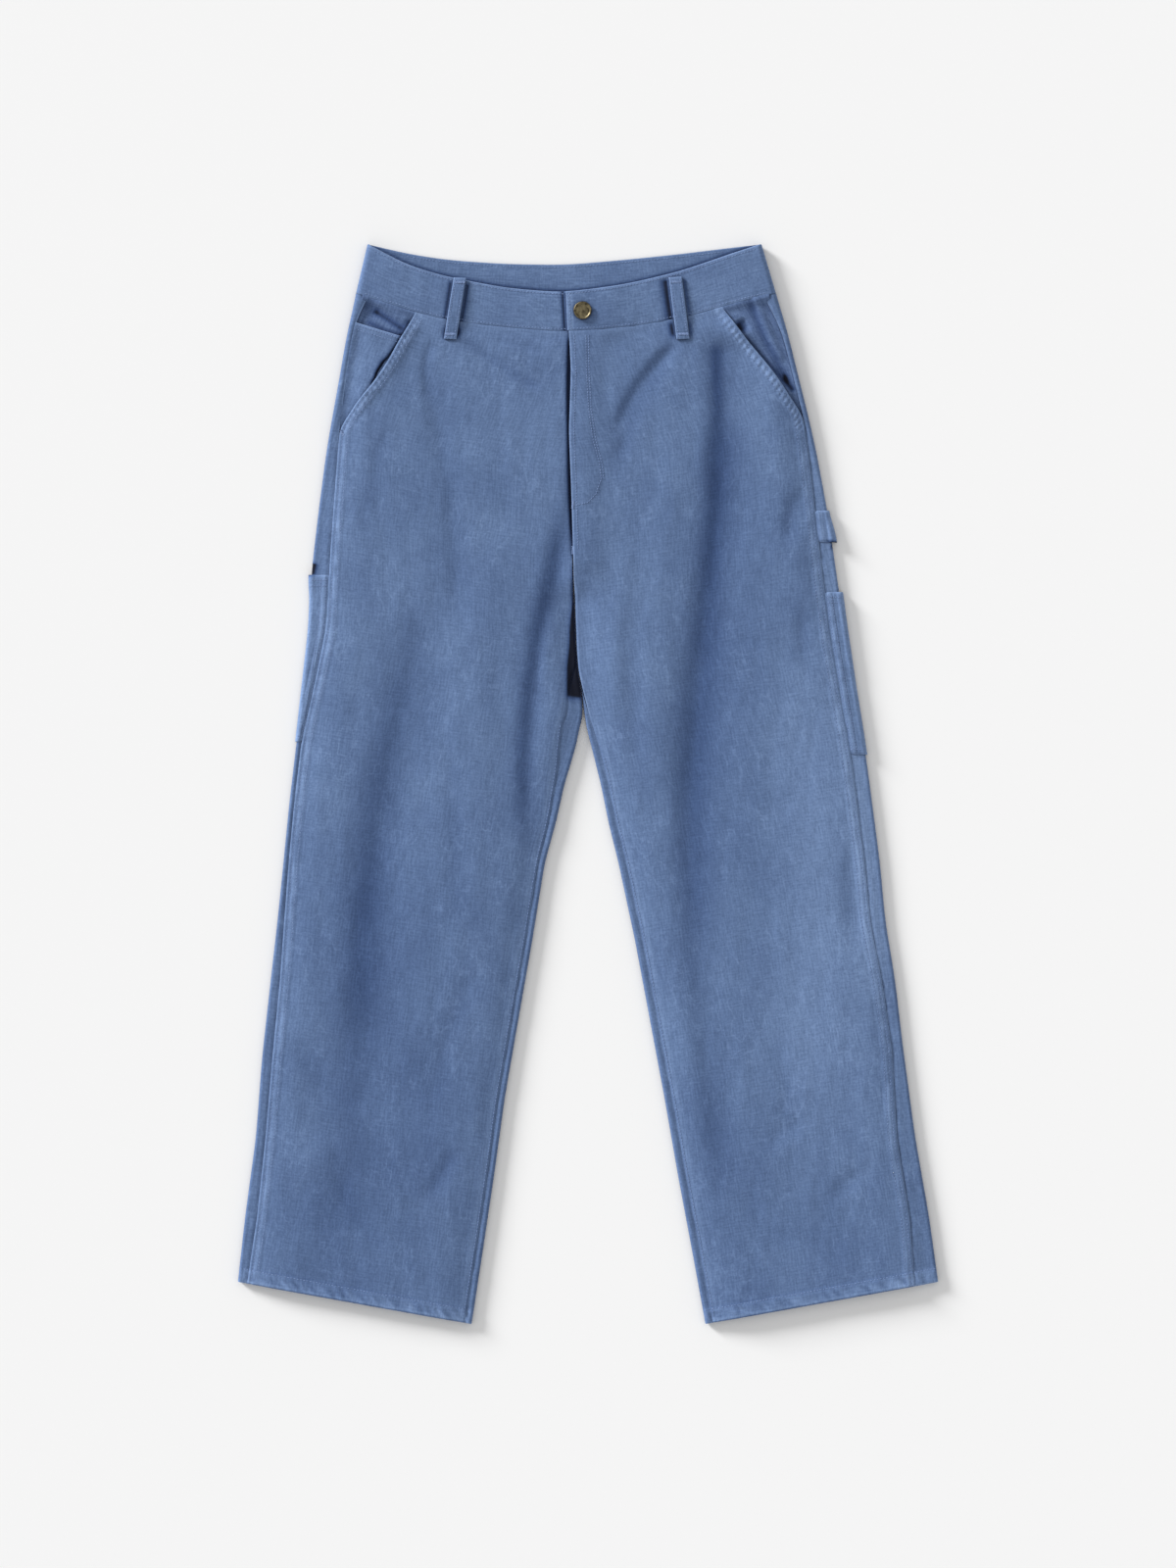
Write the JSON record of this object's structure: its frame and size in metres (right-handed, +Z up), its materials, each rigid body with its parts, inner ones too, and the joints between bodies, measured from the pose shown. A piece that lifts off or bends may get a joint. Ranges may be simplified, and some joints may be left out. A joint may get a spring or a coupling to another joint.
{
  "type": "carpenter jeans laid flat",
  "caption": "Straight wide-leg cotton jeans laid flat face up, with a buttoned waistband, slant hip pockets, side patch pockets and a hammer loop.",
  "frame": {"origin": "middle of the garment's outline, on the surface it lies on", "axes": "+Y toward the waist, +X across the garment toward its wearer's left leg, +Z up from the surface"},
  "size_m": [0.6964, 1.0736, 0.0169],
  "materials": {
    "canvas": "washed blue cotton canvas, matt, with a fine streaky weave",
    "antique_brass": "dulled antique brass"
  },
  "bodies": {
    "root": {"front_left": "canvas", "front_right": "canvas", "back_left": "canvas", "back_right": "canvas", "waistband": "canvas", "pocket_facing_left": "canvas", "pocket_facing_right": "canvas", "coin_pocket": "canvas", "side_pocket_left": "canvas", "side_pocket_right": "canvas", "hammer_loop": "canvas", "belt_loop_left": "canvas", "belt_loop_right": "canvas", "button": "antique_brass"}
  },
  "joints": []
}
